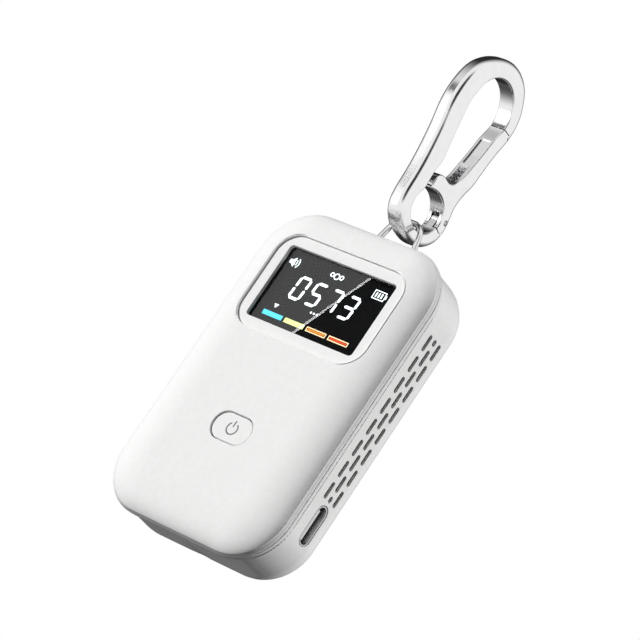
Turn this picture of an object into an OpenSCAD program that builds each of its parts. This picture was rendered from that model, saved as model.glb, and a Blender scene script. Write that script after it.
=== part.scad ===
// Keychain air quality monitor hanging from a spring-gate clip, in millimetres.
// +Z runs up the case, the display faces -Y and the charging socket is on the +X side.
// The origin is at the top of the inside of the hook, where the whole thing hangs.

/* [Case] */
// Width of the case across the display
case_w = 46.2; // [46:0.1:48]
// Height of the case
case_l = 72; // [71.6:0.1:74]
// Corner radius of the front cover's outline
case_corner = 11.3; // [10.8:0.1:12]
// How far the cover's domed edge rises above its rim
dome_rise = 3.54; // [3.3:0.02:4]
// How far the cover's domed edge reaches in from the rim
dome_reach = 9.75; // [9:0.05:10.5]
// Depth of the back half, from the cover's rim to the back face
back_depth = 14.55; // [14.4:0.05:15.5]
// How far the back shell's walls stand inside the cover's rim
shell_inset = 0.7; // [0.6:0.05:0.9]
// Radius of the back shell's rear edge
shell_round = 5.75; // [5:0.05:6]
// Wall thickness of both shells
wall = 1.4; // [1.3:0.05:1.5]

/* [Window and button] */
// Width of the sunken frame around the display
frame_w = 33.9; // [33:0.1:34.5]
// Height of the sunken frame around the display
frame_l = 22; // [21.5:0.1:22.4]
// Depth of the sunken frame
frame_sink = 0.62; // [0.5:0.02:0.7]
// Width of the display opening
view_w = 28.8; // [28:0.1:29.2]
// Height of the display opening
view_l = 17; // [16.5:0.1:17.2]
// Height of the display's middle above the middle of the case
view_up = 18.3; // [18:0.1:18.6]
// Length of the power key
key_w = 9.9; // [9.6:0.1:10.2]
// Height of the power key
key_l = 6.1; // [5.9:0.1:6.3]
// Distance of the power key below the middle of the case
key_down = 13; // [12.5:0.1:13.5]
// Travel of the power key
key_travel = 0.4; // [0.3:0.05:0.4]

/* [Side openings] */
// Length of a vent slot
slot_l = 3.7; // [3.4:0.1:3.9]
// Width of a vent slot
slot_w = 0.95; // [0.8:0.05:1]
// Spacing of the slots along a row
slot_pitch = 4.97; // [4.9:0.01:5]
// Slots in each outer row
slot_count = 8; // [4:1:8]
// Spacing of the three rows
row_pitch = 1.9; // [1.8:0.05:1.95]
// Length of the charging socket
usb_l = 8.9; // [8.8:0.05:9]
// Height of the charging socket
usb_h = 3.2; // [3.1:0.05:3.3]
// Distance of the charging socket below the middle of the case
usb_down = 21.4; // [21.2:0.1:21.6]

/* [Clip and bail] */
// Thickness of the clip
clip_t = 4; // [3.8:0.1:4]
// Diameter of the bail wire
wire_d = 1.2; // [1.1:0.05:1.2]
// Diameter of the gate's hinge pin
pin_d = 1.2; // [1.1:0.05:1.2]
// Coils of the gate spring
coils = 9; // [7:1:10]

/* [Hidden] */
$fn = 48;
eps = 0.01;

// Heights: the case hangs this far under the hook's seat
hang = 42.6;
case_top = -hang;
case_mid = case_top - case_l / 2;
view_z = case_mid + view_up;
key_z = case_mid - key_down;
usb_z = case_mid - usb_down;

// Depths, front to back
rim_y = -6.7;
front_y = rim_y - dome_rise;
back_y = rim_y + back_depth;
ledge_y = front_y + frame_sink;
cover_in_y = front_y + wall;
window_y = cover_in_y + 0.1;
window_t = 0.8;
panel_y = window_y + window_t + 0.05;
panel_t = 1.4;
tray_y = panel_y + panel_t;
tray_t = 1.6;
board_t = 1;
board_y = -2.72;
board_back = board_y + board_t;
usb_y = board_back + usb_h / 2 + eps;
vent_y = [-2.18, -2.18 + row_pitch, -2.18 + 2 * row_pitch];
vent_top_z = case_mid + 20.6;
trim_y = rim_y + 0.15;
trim_t = 0.8;
trim_inset = 0.35;
shell_y = trim_y + trim_t + 0.15;
shell_w = case_w - 2 * shell_inset;
shell_l = case_l - 2 * shell_inset;
shell_corner = case_corner - shell_inset;
side_x = shell_w / 2;
back_in_y = back_y - wall;

// Screw posts: two beside the middle of the case and two near its foot
posts = [[-14.6, case_mid + 2.5], [14.6, case_mid + 2.5],
    [-12.6, case_mid - 28.6], [12.6, case_mid - 28.6]];
post_r = 2.2;
screw_r = 1;
head_r = 1.8;
head_t = 1.2;
head_sink = 0.25;
screw_tip_y = -6.9;

// Battery
batt = [24, 5, 34];
batt_z = case_mid - 7.5;
pad_t = 0.25;
batt_y = back_in_y - pad_t - batt[1];

// Bail: a wire arch whose legs lean in towards its flat top
wire_z = case_top + 7.65;
bail_flat = 1;
bail_bend = 3;
bail_lean = 14;

// Clip: the ring's eye, the hook's inside and the gate's hinge, as [Y, Z]
eye = [0.1, -31.5];
eye_r = [5.3, 4.42];
hook = [-0.8, -6.6];
hook_r = 6.6;
pin = [6.7, -30];
gate_top_r = 23;
gate_foot_r = 2.4;
gap = 0.25;
tongue_t = 1.6;
tongue_r = 1.45;
channel_t = 2.1;
spring_y = 5.3;
spring_r = 0.7;
spring_wire = 0.32;
spring_z = [-26.9, -18.3];

// ---- curves ----

function curve(p, i, t) =
    let (n = len(p) - 1,
        a = p[max(i - 1, 0)],
        b = p[i],
        c = p[min(i + 1, n)],
        d = p[min(i + 2, n)])
    (2 * b + (c - a) * t + (2 * a - 5 * b + 4 * c - d) * t * t
        + (3 * b - a - 3 * c + d) * t * t * t) / 2;

// A smooth line through the points of p, with n steps between two of them
function smooth(p, n = 5) = concat([for (i = [0:len(p) - 2]) for (k = [0:n - 1]) curve(p, i, k / n)],
    [p[len(p) - 1]]);

function arc(c, r, from, to, n) = [for (k = [0:n])
    let (a = from + (to - from) * k / n)
    [c[0] + r * cos(a), c[1] + r * sin(a)]];

function rounded(w, l, r, n = 10) = concat(
    arc([w / 2 - r, l / 2 - r], r, 0, 90, n), arc([r - w / 2, l / 2 - r], r, 90, 180, n),
    arc([r - w / 2, r - l / 2], r, 180, 270, n), arc([w / 2 - r, r - l / 2], r, 270, 360, n));

// ---- shared shapes ----

// Flat plate facing Y, from y0 to y1, its middle at height z
module plate(w, l, r, y0, y1, z = case_mid, x = 0, n = 10) {
    translate([x, y1, z]) rotate([90, 0, 0]) linear_extrude(y1 - y0) polygon(rounded(w, l, r, n));
}

module block(x, y, z) {
    translate([x[0], y[0], z[0]]) cube([x[1] - x[0], y[1] - y[0], z[1] - z[0]]);
}

// Round bar along Y
module bar_y(r, y0, y1, x, z) {
    translate([x, y1, z]) rotate([90, 0, 0]) cylinder(r = r, h = y1 - y0);
}

module obround(w, h) {
    square([w - h, h], center = true);
    for (s = [-1, 1]) translate([s * (w - h) / 2, 0]) circle(d = h);
}

// Obround bar along Y, long in X
module obround_y(w, h, y0, y1, z) {
    translate([0, y1, z]) rotate([90, 0, 0]) linear_extrude(y1 - y0) obround(w, h);
}

// Obround bar along X, long in Z
module obround_x(w, h, x0, x1, y, z) {
    translate([x0, y, z]) rotate([90, 0, 90]) linear_extrude(x1 - x0) rotate(90) obround(w, h);
}

// Pillow whose front edge is a quarter ellipse all round; it stands on the plane y
module pillow(w, l, r, reach, rise, y, steps = 9) {
    hull() for (k = [0:steps]) let (t = 90 * k / steps, s = reach * (1 - cos(t)))
        plate(w - 2 * s, l - 2 * s, max(r - s, 0.6), y - rise * sin(t), y - rise * sin(t) + eps, n = 8);
}

// Outline [X, depth] across a tub: straight sides and round rear corners
module tub_section(w, h, round) {
    translate([-w / 2, 0]) square([w, h - round]);
    translate([round - w / 2, 0]) square([w - 2 * round, h]);
    for (s = [-1, 1]) translate([s * (w / 2 - round), h - round]) circle(r = round);
}

// Tub with straight walls from y0 and a round rear edge that ends at y1
module tub(w, l, r, round, y0, y1) {
    h = y1 - y0;
    translate([0, y0, case_mid]) {
        linear_extrude(l - 2 * r, center = true) tub_section(w, h, round);
        rotate([0, 90, 0]) linear_extrude(w - 2 * r, center = true) tub_section(l, h, round);
        for (x = [r - w / 2, w / 2 - r]) for (z = [r - l / 2, l / 2 - r])
            translate([x, 0, z]) rotate([-90, 0, 0]) rotate_extrude() intersection() {
                tub_section(2 * r, h, round);
                square([r, h]);
            }
    }
}

// Closed solid through rings of points, all of one length, that turn backwards along the way
module skin(rings) {
    m = len(rings[0]);
    n = len(rings);
    sides = [for (i = [0:n - 2]) for (k = [0:m - 1]) let (j = (k + 1) % m)
        [i * m + k, (i + 1) * m + k, (i + 1) * m + j, i * m + j]];
    polyhedron([for (ring = rings) each ring],
        concat(sides, [[for (k = [0:m - 1]) k]], [[for (k = [m - 1:-1:0]) (n - 1) * m + k]]),
        convexity = 10);
}

// Round wire of radius r along the points of p, which lie in the plane across u
module wire(p, u, r, sides) {
    n = len(p) - 1;
    skin([for (i = [0:n])
        let (d = p[min(i + 1, n)] - p[max(i - 1, 0)], v = cross(u, d / norm(d)))
        [for (k = [0:sides - 1]) p[i] + r * (u * cos(360 * k / sides) + v * sin(360 * k / sides))]]);
}

// Extrudes an outline drawn as [Y, Z] to a thickness t across X
module across(t) {
    rotate([90, 0, 90]) linear_extrude(t, center = true) children();
}

// ---- front half ----

module front_cover() color("white") {
    difference() {
        pillow(case_w, case_l, case_corner, dome_reach, dome_rise, rim_y);
        pillow(case_w - 2 * wall, case_l - 2 * wall, case_corner - wall, dome_reach - wall,
            dome_rise - wall, rim_y + eps);
        plate(frame_w, frame_l, 5, front_y - 1, ledge_y, view_z);
        plate(frame_w - 1.4, frame_l - 1, 1.5, cover_in_y, rim_y, view_z);
        plate(view_w, view_l, 0.8, front_y - 1, rim_y, view_z, n = 4);
        obround_y(key_w, key_l, front_y - 1, rim_y, key_z);
    }
    for (p = posts) difference() {
        bar_y(post_r, cover_in_y - 0.2, board_y - eps, p[0], p[1]);
        bar_y(screw_r, screw_tip_y - 0.4, board_y, p[0], p[1]);
    }
    // Snap hooks that catch under the back shell's top edge
    for (x = [-11, 11]) {
        block([x - 2, x + 2], [rim_y - 1.6, shell_y + 1.6], [case_top - 3.9, case_top - 2.9]);
        block([x - 2, x + 2], [shell_y + 0.8, shell_y + 1.6], [case_top - 3, case_top - 1.6]);
    }
}

module window_adhesive() color("dimgray") difference() {
    plate(frame_w - 2, frame_l - 1.6, 2, cover_in_y, window_y, view_z);
    plate(view_w + 0.4, view_l + 0.4, 1, cover_in_y - 1, window_y + 1, view_z, n = 4);
}

module display_window() color("black", 0.6)
    plate(frame_w - 2, frame_l - 1.6, 2, window_y, window_y + window_t, view_z);

module display_panel() color([0.02, 0.02, 0.03])
    plate(frame_w - 3, frame_l - 2.4, 0.8, panel_y, panel_y + panel_t, view_z, n = 4);

module display_tray() color("ivory") difference() {
    plate(frame_w - 1.6, frame_l - 1.2, 1, panel_y + 0.5, tray_y + tray_t, view_z, n = 4);
    plate(frame_w - 2.9, frame_l - 2.3, 0.8, panel_y, tray_y + eps, view_z, n = 4);
    // Slot in the foot for the flat cable
    block([-flex_w / 2 - 0.5, flex_w / 2 + 0.5], [panel_y, tray_y + tray_t + 1],
        [view_z - frame_l / 2, view_z - frame_l / 2 + 1.15]);
}

// Flat cable from the panel's foot, round the tray, to the board
flex_t = 0.15;
flex_w = 12;
flex_top_z = view_z - frame_l / 2 + 1.2 - eps;
flex_foot_z = case_mid + 3.4;
flex_path = smooth([[tray_y - 0.4, flex_top_z], [tray_y - 0.2, flex_top_z - 1.2],
    [tray_y + 0.9, flex_top_z - 3], [board_y - 1, flex_foot_z + 1], [board_y - 0.75, flex_foot_z]], 4);
module display_flex() color("darkorange") across(flex_w)
    polygon(concat(flex_path, [for (i = [len(flex_path) - 1:-1:0]) flex_path[i] + [flex_t, 0]]));

module display_connector() color("ivory")
    block([-flex_w / 2 - 1, flex_w / 2 + 1], [board_y - 1.2, board_y - eps],
        [flex_foot_z - 2.6, flex_foot_z - eps]);

// ---- power key ----

key_gap = 0.2;
key_sink = 0.25;
stem_r = 1.6;
stem_y = board_y - 3.4;
module power_button() color("white") {
    obround_y(key_w - 2 * key_gap, key_l - 2 * key_gap, front_y + key_sink, cover_in_y + 0.3, key_z);
    obround_y(key_w + 1.6, key_l + 1.6, cover_in_y + 0.1, cover_in_y + 0.9, key_z);
    bar_y(stem_r, cover_in_y + 0.8, stem_y, 0, key_z);
}

switch_t = 1.9;
plunger_foot_y = board_y - 1.3;
module switch_plunger() color("black")
    bar_y(stem_r, stem_y + eps, plunger_foot_y, 0, key_z);

module tact_switch() color("silver") difference() {
    block([-2.6, 2.6], [board_y - switch_t, board_y - eps], [key_z - 2.6, key_z + 2.6]);
    bar_y(stem_r + 0.08, board_y - switch_t - 1, plunger_foot_y + key_travel + 0.3, 0, key_z);
}

// ---- back half ----

module trim_ring() color("whitesmoke") difference() {
    plate(case_w - 2 * trim_inset, case_l - 2 * trim_inset, case_corner - trim_inset,
        trim_y, trim_y + trim_t);
    plate(case_w - 4.2, case_l - 4.2, case_corner - 2.1, trim_y - 1, trim_y + trim_t + 1);
}

module vent_slots(x0, x1) {
    for (row = [0, 2]) for (k = [0:slot_count - 1])
        obround_x(slot_l, slot_w, x0, x1, vent_y[row], vent_top_z - k * slot_pitch);
    for (k = [0:slot_count - 2])
        obround_x(slot_l, slot_w, x0, x1, vent_y[1], vent_top_z - (k + 0.5) * slot_pitch);
    for (z = [vent_top_z + 1.15, vent_top_z - (slot_count - 1) * slot_pitch - 1.15])
        obround_x(1.4, slot_w, x0, x1, vent_y[1], z);
}

// Clearance hole and head recess of each case screw
module screw_holes() {
    for (p = posts) {
        bar_y(screw_r + 0.15, board_back - 1, back_y, p[0], p[1]);
        bar_y(head_r + 0.2, back_y - head_t - head_sink, back_y + 1, p[0], p[1]);
    }
}

module back_shell() color("white") difference() {
    union() {
        difference() {
            tub(shell_w, shell_l, shell_corner, shell_round, shell_y, back_y);
            tub(shell_w - 2 * wall, shell_l - 2 * wall, shell_corner - wall, shell_round - wall,
                shell_y - 1, back_in_y);
        }
        for (p = posts) bar_y(post_r, board_back + eps, back_in_y + 0.3, p[0], p[1]);
    }
    screw_holes();
    vent_slots(side_x - wall - 1, side_x + 1);
    vent_slots(-side_x - 1, wall + 1 - side_x);
    obround_x(usb_l + 0.2, usb_h + 0.2, side_x - wall - 1, side_x + 1, usb_y, usb_z);
    for (s = [-1, 1]) bail_leg(s, wire_d / 2 + 0.02, 8.5);
    // Undercut under the top edge for the cover's snap hooks
    for (x = [-11, 11]) block([x - 2.2, x + 2.2], [shell_y + 0.7, shell_y + 1.8],
        [case_top - 3, case_top - 1.45]);
}

module case_screws() color("silver") for (p = posts) difference() {
    union() {
        bar_y(head_r, back_y - head_t - head_sink, back_y - head_sink, p[0], p[1]);
        bar_y(screw_r, screw_tip_y, back_y - head_t - head_sink + eps, p[0], p[1]);
    }
    for (a = [0, 90]) translate([p[0], back_y, p[1]]) rotate([0, a, 0])
        cube([2.2, 2 * (head_sink + 0.6), 0.45], center = true);
}

// ---- electronics ----

board_l = case_l - 8.5;
board_z = case_mid - 1.25;
module main_board() color("darkgreen") difference() {
    plate(case_w - 6.2, board_l, 8.5, board_y, board_back, board_z);
    for (p = posts) bar_y(screw_r + 0.15, board_y - 1, board_back + 1, p[0], p[1]);
}

// Part soldered to the back of the board: middle, size across and up, and height
module on_back(x, z, w, l, t) {
    block([x - w / 2, x + w / 2], [board_back + eps, board_back + t], [z - l / 2, z + l / 2]);
}

sensor_w = 10.1;
sensor_t = 5.6;
sensor_x = 13.6;
sensor_z = case_mid + 17.6;
module co2_sensor() color("gold") difference() {
    on_back(sensor_x, sensor_z, sensor_w, sensor_w, sensor_t);
    bar_y(2, board_back + sensor_t - 0.3, board_back + sensor_t + 1, sensor_x, sensor_z);
}
module sensor_membrane() color("white")
    bar_y(1.9, board_back + sensor_t - 0.3 + eps, board_back + sensor_t, sensor_x, sensor_z);

module controller_chip() color([0.1, 0.1, 0.1])
    block([-9, -3], [board_y - 0.9, board_y - eps], [case_mid - 7, case_mid - 1]);
module charger_chip() color([0.1, 0.1, 0.1]) on_back(8.5, usb_z + 4.5, 3, 3, 0.8);
module board_passives() color("tan") {
    for (k = [0:4]) on_back(10.5, usb_z + 8 + 1.8 * k, 1.6, 0.8, 0.7);
    for (k = [0:3]) on_back(-10.4, case_mid - 18 + 2.2 * k, 0.8, 1.6, 0.7);
}
module buzzer() color([0.12, 0.12, 0.12]) difference() {
    bar_y(4.8, board_back + eps, board_back + 3.4, -12.6, case_mid + 17.6);
    bar_y(0.8, board_back + 2.4, board_back + 4, -12.6, case_mid + 17.6);
}

usb_x = [side_x - 7.3, side_x - 0.1];
module usb_shell() color("silver") difference() {
    obround_x(usb_l, usb_h, usb_x[0], usb_x[1], usb_y, usb_z);
    obround_x(usb_l - 0.6, usb_h - 0.6, usb_x[0] + 0.6, usb_x[1] + 1, usb_y, usb_z);
}
module usb_tongue() color([0.12, 0.12, 0.12])
    block([usb_x[0] + 0.6 + eps, usb_x[1] - 0.9], [usb_y - 0.35, usb_y + 0.35],
        [usb_z - 3.35, usb_z + 3.35]);

module battery() color("lightsteelblue")
    block([-batt[0] / 2, batt[0] / 2], [batt_y, batt_y + batt[1]],
        [batt_z - batt[2] / 2, batt_z + batt[2] / 2]);
module battery_pad() color("black")
    block([-9, 9], [batt_y + batt[1] + eps, back_in_y - eps], [batt_z - 14, batt_z + 14]);

plug_z = case_mid - 27.4;
module battery_connector() color("white") on_back(-5, plug_z - 1.9, 6, 3.8, 3.2);
// Two leads leave the cell's foot, step forward and drop into the plug
lead_r = 0.5;
lead_y = [3.4, 0.3];
module battery_leads() {
    foot = batt_z - batt[2] / 2;
    for (k = [0, 1]) color(k == 0 ? "red" : "black") let (x = -5.8 + 1.6 * k)
        wire(concat([[x, lead_y[0], foot - eps]],
            smooth([[x, lead_y[0], foot - 0.4], [x, 2.6, foot - 1.3], [x, 1.1, foot - 1.8],
                [x, lead_y[1], plug_z + 0.4]], 3),
            [[x, lead_y[1], plug_z + eps]]), [1, 0, 0], lead_r, 10);
}

// Dust mesh behind the slots of the side s
mesh_t = 0.25;
mesh_l = slot_pitch * slot_count;
module vent_mesh(s) color("dimgray") mirror([s > 0 ? 0 : 1, 0, 0])
    block([side_x - wall - mesh_t, side_x - wall - eps], [vent_y[0] - 0.45, vent_y[2] + 0.45],
        [vent_top_z + 2.3 - mesh_l, vent_top_z + 2.3]);
module vent_mesh_right() vent_mesh(1);
module vent_mesh_left() vent_mesh(-1);

// ---- bail ----

hip = [bail_flat, wire_z - bail_bend] + bail_bend * [cos(bail_lean), sin(bail_lean)];
leg_l = (hip[1] - case_top + shell_inset + wall + 2.2) / cos(bail_lean);
// Straight leg on side s, from the end of its bend down past the case's top wall
module bail_leg(s, r, length) {
    translate([s * hip[0], 0, hip[1]]) rotate([0, 180 - s * bail_lean, 0]) cylinder(r = r, h = length);
}

// The bends are a hair thinner than the straight wire, so that their ends lie inside it
bend_lap = 4;
bend_slim = 0.02;
module bail() color("silver") {
    translate([-bail_flat, 0, wire_z]) rotate([0, 90, 0]) cylinder(d = wire_d, h = 2 * bail_flat);
    for (s = [-1, 1]) {
        translate([s * bail_flat, 0, wire_z - bail_bend]) rotate([90, 0, s > 0 ? 0 : 180])
            rotate([0, 0, bail_lean - bend_lap]) rotate_extrude(angle = 90 - bail_lean + 2 * bend_lap)
            translate([bail_bend, 0]) circle(r = wire_d / 2 - bend_slim);
        bail_leg(s, wire_d / 2, leg_l);
    }
}

module bail_retainer() color("gray") difference() {
    block([-9, 9], [-2, 2], [case_top - shell_inset - wall - 2.2, case_top - shell_inset - wall - eps]);
    for (s = [-1, 1]) bail_leg(s, wire_d / 2 + eps, leg_l + 1);
}

// ---- clip ----

// Whole outline of the clip, up the gate's back, over the hook, down the spine and round the ring
clip_edge = smooth([[8.3, -17], [8.6, -12.5], [9.3, -8.2], [9.3, -4.8], [8.2, -1.4], [5.2, 2.3],
    [1.6, 3.9], [-2.2, 4], [-6, 2.6], [-9.6, -0.3], [-11.6, -3.6], [-12.4, -8], [-12.1, -12.5],
    [-10.6, -17.7], [-9.4, -23.4], [-8.8, -28], [-8.5, -32.4], [-7.5, -35.6], [-4.9, -37.9],
    [-1.2, -38.7], [2.6, -38.5], [5.8, -36.9], [7.9, -34.2], [8.4, -31.2], [7.9, -28.7],
    [7.15, -26.2], [7.3, -23.4], [8.1, -20.3], [8.3, -17]]);
spine_edge = smooth([[-7.4, -6.6], [-7.6, -9.5], [-6.6, -14], [-5.3, -19.1], [-4.5, -22.3],
    [-4.8, -24.8], [-4.45, -28.3]]);
lobe_edge = smooth([[-3.1, -27.4], [-3.3, -25.6], [-2.6, -24.1], [-1, -23.7], [0.8, -23.9],
    [2.3, -23.3], [3.1, -22.2], [3.7, -20], [4.5, -14.9], [5, -10.5]]);

module clip_openings() {
    polygon(concat(arc(hook, hook_r, -8, 180, 20), spine_edge, [[-4.2, -29.8], [-3, -28.8]], lobe_edge));
    polygon([for (k = [0:59]) [eye[0] + eye_r[0] * cos(6 * k), eye[1] + eye_r[1] * sin(6 * k)]]);
}

// Stretch of the outline that swings with the gate, grown by g all round
module gate_zone(g) {
    translate(pin) circle(r = gate_foot_r + g);
    difference() {
        intersection() {
            translate(pin) circle(r = gate_top_r + g, $fn = 200);
            polygon([[-3.6, -29], [2, pin[1]], [9.6, pin[1]], [11, -4], [2.5, -4], [2.5, -22],
                [-3.6, -22.5]]);
        }
        // Step on the back of the hook's nose that stops the gate from opening outwards
        translate([g - gap, g - gap] * 0.7)
            polygon([[8.2, -6], [8.2, -7.4], [9.6, -8.6], [12, -8.6], [12, -6]]);
    }
}

module gate_channel() {
    translate(pin) circle(r = tongue_r + gap);
    polygon([[3.5, pin[1]], [9.5, pin[1]], [9.5, pin[1] - 3], [3.5, pin[1] - 3]]);
    polygon([[4.3, pin[1]], [7.4, pin[1]], [7.1, -28.4], [6.3, -27], [6.3, -18.2], [5.5, -16.9],
        [4.4, -17.8], [1, -17.8], [1, -22.8], [4.3, -23.4]]);
}

module clip_frame() color("silver") difference() {
    union() {
        across(clip_t) difference() {
            polygon(clip_edge);
            clip_openings();
            gate_zone(gap);
        }
        // Tongue that carries the gate's pin
        across(tongue_t) {
            translate(pin) circle(r = tongue_r);
            polygon([[pin[0] - 1.35, pin[1]], [pin[0] + 1.35, pin[1]], [8, -33.6], [5.1, -33.6]]);
        }
    }
    translate([-clip_t, pin[0], pin[1]]) rotate([0, 90, 0]) cylinder(r = pin_d / 2 + 0.05, h = 2 * clip_t);
}

module clip_gate() color("silver") difference() {
    across(clip_t) intersection() {
        difference() {
            polygon(clip_edge);
            clip_openings();
        }
        gate_zone(0);
    }
    across(channel_t) gate_channel();
    translate([-clip_t, pin[0], pin[1]]) rotate([0, 90, 0]) cylinder(d = pin_d, h = 2 * clip_t);
}

module gate_pin() color("gray")
    translate([-clip_t / 2, pin[0], pin[1]]) rotate([0, 90, 0]) cylinder(d = pin_d, h = clip_t);

module gate_plunger() color("gray")
    translate([0, spring_y, pin[1] + 2.05]) cylinder(r = spring_r + 0.1, h = spring_z[0] - pin[1] - 2.06);

// Helix of round wire, in rings of sides points
helix_steps = 12;
helix_sides = 6;
module gate_spring() color("silver") {
    n = coils * helix_steps;
    rise = spring_z[1] - spring_z[0] - 2 * spring_wire;
    skin([for (i = [0:n]) [for (k = [0:helix_sides - 1])
        let (a = 360 * i / helix_steps, b = 360 * k / helix_sides,
            r = spring_r + spring_wire / 2 * cos(b))
        [r * cos(a), spring_y + r * sin(a),
            spring_z[0] + spring_wire + rise * i / n + spring_wire / 2 * sin(b)]]]);
}

front_cover();
window_adhesive();
display_window();
display_panel();
display_tray();
display_flex();
display_connector();
power_button();
switch_plunger();
tact_switch();
trim_ring();
back_shell();
case_screws();
main_board();
co2_sensor();
sensor_membrane();
controller_chip();
charger_chip();
board_passives();
buzzer();
usb_shell();
usb_tongue();
battery();
battery_pad();
battery_leads();
battery_connector();
vent_mesh_right();
vent_mesh_left();
bail();
bail_retainer();
clip_frame();
clip_gate();
gate_pin();
gate_spring();
gate_plunger();
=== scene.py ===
"""Keychain air quality monitor: its looks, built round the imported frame.

Sizes are in millimetres in the row's frame, and each mesh is made in metres. Sections: shapes, materials, the
camera and light, the case's front, the power key, the display, the case's back, the bail and the clip.
"""

from math import asin, atan2, cos, degrees, hypot, pi, radians, sin, sqrt, tan

import bmesh
import bpy
import numpy as np
from mathutils import Matrix, Vector
from mathutils.bvhtree import BVHTree
from mathutils.geometry import delaunay_2d_cdt


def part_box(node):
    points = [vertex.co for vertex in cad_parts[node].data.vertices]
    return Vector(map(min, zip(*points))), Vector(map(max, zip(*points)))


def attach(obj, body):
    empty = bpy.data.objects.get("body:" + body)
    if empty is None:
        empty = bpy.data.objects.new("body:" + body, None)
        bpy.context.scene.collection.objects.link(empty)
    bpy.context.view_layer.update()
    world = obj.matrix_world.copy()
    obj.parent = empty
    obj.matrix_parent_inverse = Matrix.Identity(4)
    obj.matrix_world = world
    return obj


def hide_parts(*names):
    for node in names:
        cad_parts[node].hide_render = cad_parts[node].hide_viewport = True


MM = 0.001
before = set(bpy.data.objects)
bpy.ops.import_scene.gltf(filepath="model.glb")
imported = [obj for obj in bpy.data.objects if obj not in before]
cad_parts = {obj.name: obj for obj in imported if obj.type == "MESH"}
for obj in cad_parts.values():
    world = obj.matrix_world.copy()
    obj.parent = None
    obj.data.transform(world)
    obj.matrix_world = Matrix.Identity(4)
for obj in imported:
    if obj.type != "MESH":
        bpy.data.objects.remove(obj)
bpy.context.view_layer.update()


def span(node):
    """Lowest and highest corner of a CAD node, in millimetres."""
    lo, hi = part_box(node)
    return lo / MM, hi / MM


# ---- sizes, worked out from the frame ----

cover_lo, cover_hi = span("front_cover")
trim_lo, trim_hi = span("trim_ring")
shell_lo, shell_hi = span("back_shell")
CASE_W = cover_hi.x - cover_lo.x
CASE_L = cover_hi.z - cover_lo.z
MID_Z = (cover_hi.z + cover_lo.z) / 2
CORNER = 11.3
CASE = (CASE_W, CASE_L, CORNER)
PART_GAP = 0.2  # between the cover, the trim ring and the back shell
EASE = 0.1  # how much the rounded rims open that gap on either side
RIM_Y = trim_lo.y - PART_GAP
FRONT_Y = cover_lo.y
RISE = RIM_Y - FRONT_Y
REACH = 9.75
WALL = 1.4
RECESS = (33.9, 22, 5)
LEDGE_Y = FRONT_Y + 0.62
VIEW = (28.8, 17, 0.8)
VIEW_UP = 18.3
KEY = (10.2, 6.4, 3.15)
KEY_DOWN = 13
SHELL_INSET = (CASE_W - (shell_hi.x - shell_lo.x)) / 2
SHELL_ROUND = 5.75

# ---- shapes ----


def add_object(name, data):
    thing = bpy.data.objects.new(name, data)
    bpy.context.scene.collection.objects.link(thing)
    return thing


class Surface:
    """A mesh in the making: points, each with its normal, and the faces over them."""

    def __init__(self):
        self.points, self.normals, self.faces, self.flat = [], [], [], []

    def row(self, points, normals):
        """Adds a row of points and gives back their numbers."""
        first = len(self.points)
        self.points += [tuple(p) for p in points]
        self.normals += [tuple(n) for n in normals]
        return list(range(first, len(self.points)))

    def face(self, corners, flat=False):
        self.faces.append(tuple(corners))
        self.flat.append(flat)

    def band(self, a, b, closed=True, flat=False):
        """Quads between two rows of the same length."""
        for k in range(len(a) if closed else len(a) - 1):
            j = (k + 1) % len(a)
            self.face((a[k], a[j], b[j], b[k]), flat)

    def bands(self, rows):
        for a, b in zip(rows, rows[1:]):
            self.band(a, b)

    def cap(self, row, normal):
        """Closes a row with one flat face."""
        self.face(self.row([self.points[i] for i in row], [normal] * len(row)), True)

    def fill(self, outer, holes, spots, lift):
        """Triangles between the row outer and the rows holes, each a pair of numbers and 2-D points. spots are
        loose 2-D points among them, and lift gives such a point its place and normal."""
        rows = [outer, *holes]
        numbers = [n for row in rows for n in row[0]]
        flat_points = [tuple(p) for row in rows for p in row[1]]
        edges, first = [], 0
        for row in rows:
            n = len(row[0])
            edges += [(first + k, first + (k + 1) % n) for k in range(n)]
            first += n
        for p in spots:
            place, normal = lift(p)
            numbers += self.row([place], [normal])
            flat_points.append(tuple(p))
        found, _, triangles, origin, _, _ = delaunay_2d_cdt(
            [Vector(p) for p in flat_points], edges, [], 0, 1e-7)
        for t in triangles:
            middle = sum((found[i] for i in t), Vector((0, 0))) / 3
            if inside(middle, outer[1]) and not any(inside(middle, h[1]) for h in holes):
                self.face([numbers[origin[i][0]] for i in t])

    def build(self, name):
        """The mesh object. Each face is turned to the side that its corners' normals show."""
        co = np.array(self.points, float)
        no = np.array(self.normals, float)
        no /= np.maximum(np.linalg.norm(no, axis=1), 1e-9)[:, None]
        faces, corner_normals = [], []
        for corners, flat in zip(self.faces, self.flat):
            f = list(dict.fromkeys(corners))
            if len(f) < 3:
                continue
            p = co[f]
            normal = np.cross(p - p[0], np.roll(p, -1, axis=0) - p[0]).sum(0)
            if normal @ no[f].sum(0) < 0:
                f, normal = f[::-1], -normal
            faces.append(f)
            corner_normals += [normal / max(np.linalg.norm(normal), 1e-12)] * len(f) if flat else list(no[f])
        mesh = bpy.data.meshes.new(name)
        mesh.from_pydata(co * MM, [], faces)
        mesh.shade_smooth()
        mesh.normals_split_custom_set([Vector(n) for n in corner_normals])
        return add_object(name, mesh)


def inside(p, loop):
    """Whether the 2-D point p lies inside the closed line loop."""
    a = np.asarray(loop, float)
    b = np.roll(a, -1, axis=0)
    crosses = (a[:, 1] > p[1]) != (b[:, 1] > p[1])
    rise = np.where(crosses, b[:, 1] - a[:, 1], 1)
    x = a[:, 0] + (p[1] - a[:, 1]) * (b[:, 0] - a[:, 0]) / rise
    return bool(np.sum(crosses & (x > p[0])) % 2)


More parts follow.
